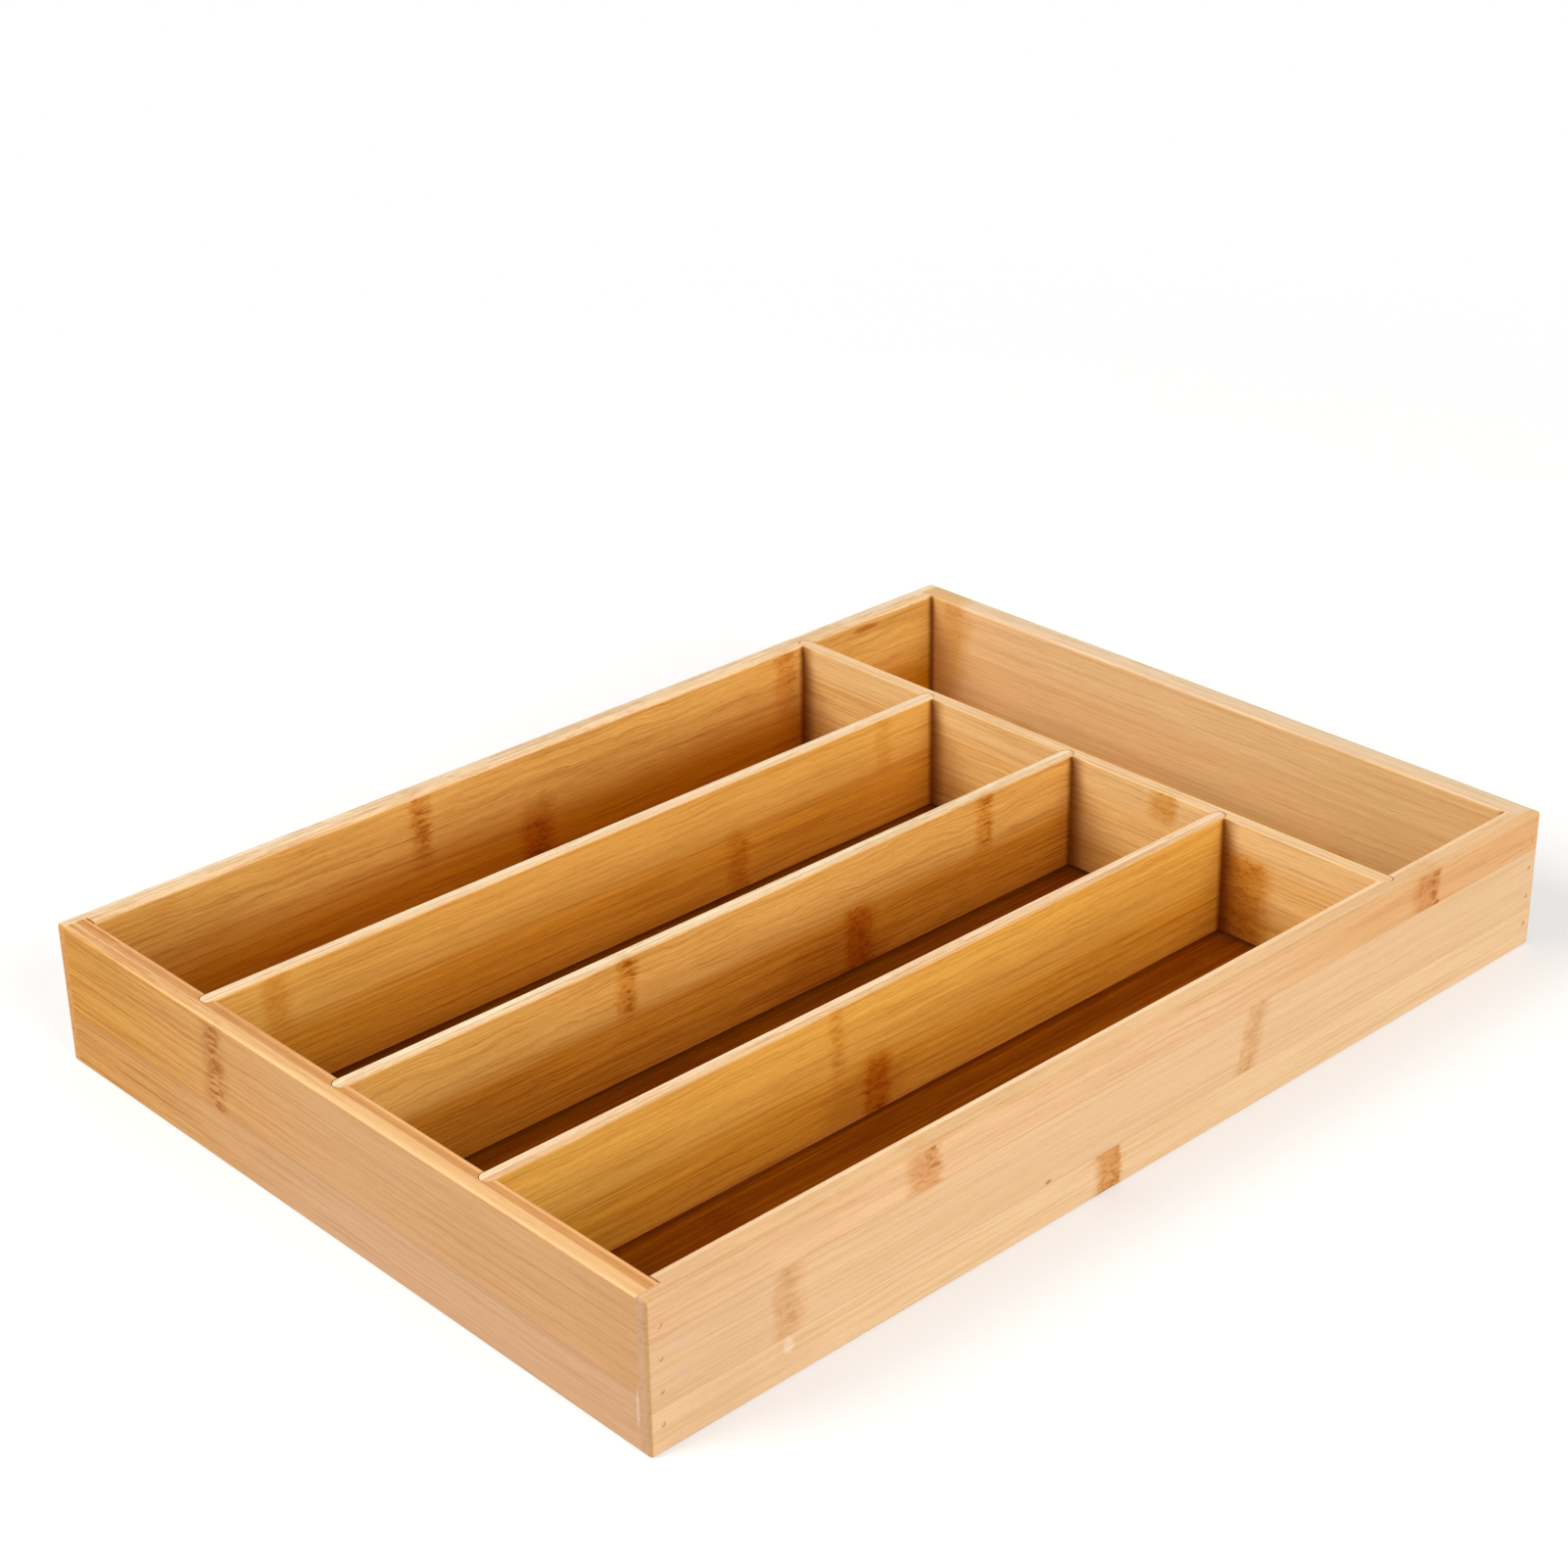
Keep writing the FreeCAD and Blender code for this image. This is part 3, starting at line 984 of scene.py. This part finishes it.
@dataclass
class Dividers:
    """The cross divider and the three long dividers, whose nodes have golden stains."""

    finish: Bamboo = Bamboo(halo_tint=(0.84, 0.6, 0.17, 1.0))
    # In the four boards below, the lower strips' darker colours are partly the strips' tone and partly
    # painted shade.
    cross: Board = Board(
        strips=(
            Strip(19.0, srgb(226, 180, 98), (Mark(76.0, 22.0, 9.0, depth=0.92, ridge=0.3),), contrast=0.65),
            Strip(
                35.0,
                srgb(239, 197, 125),
                (Mark(76.0, 22.0, 9.0, depth=0.92, ridge=0.3),),
                contrast=0.65,
            ),
            Strip(45.0, srgb(239, 202, 140), (Mark(43.0, 11.0, 3.5, depth=0.7, ridge=0.2),), contrast=0.55),
        ),
        edge=(Ply(108.6, srgb(234, 196, 146)), Ply(112.0, srgb(245, 204, 152))),
        grain=Grain.CROSSWISE,
        seed=5.0,
        # Painted shade: at the left end of each section the joint lines spread 7 mm, standing for the shade
        # of the board beside it.
        seams_and_shade=(-119.6, -58.6, 2.4, 63.4),
        inward=-1.0,
        blur=3.0,
        seam_and_shade_width=7.0,
    )
    left: Board = Board(
        strips=(
            Strip(27.0, srgb(241, 172, 57), (Mark(22.0, 7.0, 5.0, depth=0.55),), contrast=0.75),
            Strip(
                45.0,
                srgb(241, 185, 91),
                (Mark(-150.0, 7.0, 6.0, depth=0.5, ridge=0.2), Mark(86.0, 6.0, 4.0, depth=0.3, ridge=0.15)),
                figure=0.8,
                contrast=0.6,
            ),
        ),
        edge=(
            Ply(-60.7, srgb(249, 224, 188)),
            Ply(-60.3, srgb(240, 198, 153)),
            Ply(-59.4, srgb(249, 220, 180)),
            Ply(-58.6, srgb(249, 205, 149)),
        ),
        seed=6.0,
        seams_and_shade=(107.2,),
        blur=5.0,
    )
    middle: Board = Board(
        strips=(
            Strip(27.0, srgb(222, 155, 50), (Mark(15.0, 9.0, 8.0, depth=1.1, ridge=0.7),), contrast=0.95),
            Strip(
                45.0,
                srgb(240, 187, 100),
                (Mark(-75.3, 6.0, 4.5, depth=0.65, ridge=1.0), Mark(69.0, 6.5, 4.0, depth=0.65, ridge=0.9)),
                figure=1.5,
                contrast=0.7,
            ),
        ),
        edge=(
            Ply(0.3, srgb(250, 228, 192)),
            Ply(0.7, srgb(230, 190, 143)),
            Ply(1.6, srgb(247, 220, 179)),
            Ply(2.4, srgb(247, 202, 145)),
        ),
        seed=7.0,
        seams_and_shade=(107.2,),
        spots=(Spot(3.0, 12.0, 32.0, 12.0, srgb(185, 108, 20), 0.5),),
        blur=3.0,
    )
    right: Board = Board(
        strips=(
            Strip(24.0, srgb(246, 184, 66), (Mark(-37.5, 8.5, 5.5, depth=1.2),), contrast=0.8),
            Strip(
                45.0,
                srgb(242, 187, 87),
                (Mark(-54.0, 4.0, 4.0, depth=0.3),),
                figure=0.8,
                contrast=0.65,
            ),
        ),
        edge=(
            Ply(61.3, srgb(253, 219, 180)),
            Ply(61.7, srgb(232, 187, 139)),
            Ply(62.6, srgb(243, 208, 163)),
            Ply(63.4, srgb(240, 189, 128)),
        ),
        seed=8.0,
        seams_and_shade=(107.2,),
        spots=(
            Spot(-43.0, 13.0, 20.0, 11.0, srgb(200, 126, 28), 0.45),
            # Painted highlight: a pale line along the divider's lower edge.
            Spot(-60.0, 7.3, 80.0, 1.0, srgb(235, 165, 90), 0.8),
        ),
        blur=5.0,
    )

    def dress(self) -> None:
        """Gives each divider its bamboo."""
        boards = {
            "cross_divider": self.cross,
            "long_divider_left": self.left,
            "long_divider_middle": self.middle,
            "long_divider_right": self.right,
        }
        for node, board in boards.items():
            dress(node, self.finish.material(f"{node}_bamboo", board))


@dataclass
class BasePanel:
    """The thin panel in the walls' grooves, duller than the boards, its dark colours partly painted shade.
    """

    finish: Bamboo = Bamboo(specular=0.1, coat=0.0)
    lay: PanelLay = PanelLay(
        dark=srgb(159, 90, 1),
        light=srgb(212, 126, 1),
        node=Mark(0.0, depth=0.3),
        seed=197.0,
        contrast=1.3,
    )

    def dress(self) -> None:
        """Gives the panel its bamboo, whose dark colours are partly painted shade."""
        dress("base_panel", self.finish.material("base_panel_bamboo", self.lay))


@dataclass
class CornerBrads:
    """Four brads at each corner."""

    finish: BronzedWire = BronzedWire()
    corners: tuple[str, ...] = ("front_left", "front_right", "back_left", "back_right")

    def dress(self) -> None:
        """Gives every brad its wire."""
        material = self.finish.material("brad_wire")
        for corner in self.corners:
            dress(f"corner_brads_{corner}", material)


@dataclass(frozen=True)
class Softbox:
    """A square lamp: its place, side and power."""

    name: str
    place: Point
    side: float
    watts: float


@dataclass
class Studio:
    """Floor, lamps, backdrop and camera."""

    floor_radius: float = 7.0
    floor_segments: int = 96
    floor_colour: Colour = srgb(204, 203, 201)
    floor_lift: float = 0.42
    floor_fade: tuple[float, float] = (350.0, 800.0)
    ambient: float = 0.38
    lamps: tuple[Softbox, ...] = (
        Softbox("key_lamp", (-1.3, -3.0, 2.5), 2.2, 143.0),
        Softbox("fill_lamp", (3.7, 0.0, 1.6), 2.6, 111.0),
    )
    camera_place: Point = (0.572169, -0.543493, 0.457874)
    camera_aim: Point = (-0.084, 0.064444, 0.02)
    camera_roll: float = math.radians(-0.97)
    camera_lens: float = 70.1

    def build(self) -> None:
        """Makes the whole studio."""
        self.build_floor()
        self.build_backdrop()
        for lamp in self.lamps:
            self.build_lamp(lamp)
        self.build_camera()
        bpy.context.scene.view_settings.view_transform = "Standard"

    def build_floor(self) -> None:
        """Makes the pale floor, which shows the shadow and can't be seen from below."""
        shape = bmesh.new()
        bmesh.ops.create_circle(
            shape, cap_ends=True, radius=self.floor_radius, segments=self.floor_segments
        )
        mesh = bpy.data.meshes.new("studio_floor")
        shape.to_mesh(mesh)
        shape.free()
        mesh.materials.append(self.floor_material())
        floor = bpy.data.objects.new("studio_floor", mesh)
        bpy.context.scene.collection.objects.link(floor)
        LOG.info("studio_floor: radius %.1f m", self.floor_radius)

    def floor_material(self) -> bpy.types.Material:
        """Makes the floor's finish.

        Returns:
            A matt pale finish that is lifted a little for the camera and for reflections.
        """
        made = bpy.data.materials.new("studio_floor_paint")
        graph = Graph(made)
        matt = graph.node("ShaderNodeBsdfDiffuse", sockets={"Color": self.floor_colour}).outputs[0]
        glow = graph.node("ShaderNodeEmission", sockets={"Strength": self.floor_lift}).outputs[0]
        lifted = graph.node("ShaderNodeAddShader", sockets={0: matt, 1: glow}).outputs[0]
        by_ray = {0: self.seen(graph), 1: matt, 2: lifted}
        lit = graph.node("ShaderNodeMixShader", sockets=by_ray).outputs[0]
        clear = graph.node("ShaderNodeBsdfTransparent").outputs[0]
        below = Value(graph, graph.node("ShaderNodeNewGeometry").outputs["Backfacing"])
        x, y, _ = graph.place()
        far = x.hypot(y).rise(*self.floor_fade) * self.seen(graph)
        gone = graph.maths("MAXIMUM", below, far)
        both = graph.node("ShaderNodeMixShader", sockets={0: gone, 1: lit, 2: clear})
        graph.surface(both.outputs[0])
        return made

    @staticmethod
    def seen(graph: Graph) -> Value:
        """Tells the rays that show a thing from those that light it.

        Args:
            graph: the graph that takes the nodes.

        Returns:
            1 for rays from the camera and for reflected and refracted ones.
        """
        path = graph.node("ShaderNodeLightPath").outputs
        kinds = ("Is Camera Ray", "Is Glossy Ray", "Is Transmission Ray")
        camera, glossy, transmitted = (Value(graph, path[kind]) for kind in kinds)
        return (camera + glossy + transmitted).clamp()

    def build_backdrop(self) -> None:
        """Makes the world: white where it is seen, softer where it lights the tray."""
        world = bpy.data.worlds.new("studio_backdrop")
        graph = Graph(world)
        white = (1.0, 1.0, 1.0, 1.0)
        dim, full = (
            graph.node("ShaderNodeBackground", sockets={"Color": white, "Strength": strength}).outputs[0]
            for strength in (self.ambient, 1.0)
        )
        sky = graph.node("ShaderNodeMixShader", sockets={0: self.seen(graph), 1: dim, 2: full})
        graph.surface(sky.outputs[0], "ShaderNodeOutputWorld")
        bpy.context.scene.world = world

    def build_lamp(self, lamp: Softbox) -> None:
        """Hangs one lamp, turned to the tray.

        Args:
            lamp: what to hang.
        """
        data = bpy.data.lights.new(lamp.name, "AREA")
        data.size = lamp.side
        data.energy = lamp.watts
        made = bpy.data.objects.new(lamp.name, data)
        made.location = lamp.place
        made.rotation_mode = "QUATERNION"
        made.rotation_quaternion = Vector(lamp.place).to_track_quat("Z", "Y")
        bpy.context.scene.collection.objects.link(made)

    def build_camera(self) -> None:
        """Sets the camera where the photograph was taken from."""
        data = bpy.data.cameras.new("camera")
        data.lens = self.camera_lens
        made = bpy.data.objects.new("camera", data)
        away = Vector(self.camera_place) - Vector(self.camera_aim)
        made.location = self.camera_place
        made.rotation_mode = "QUATERNION"
        roll = Quaternion((0.0, 0.0, 1.0), self.camera_roll)
        made.rotation_quaternion = away.to_track_quat("Z", "Y") @ roll
        bpy.context.scene.collection.objects.link(made)
        bpy.context.scene.camera = made


def main() -> None:
    """Dresses the tray and builds the studio round it."""
    logging.basicConfig(level=logging.INFO, format="%(message)s")
    Walls().dress()
    Dividers().dress()
    BasePanel().dress()
    CornerBrads().dress()
    Studio().build()


if __name__ == "__main__":
    main()
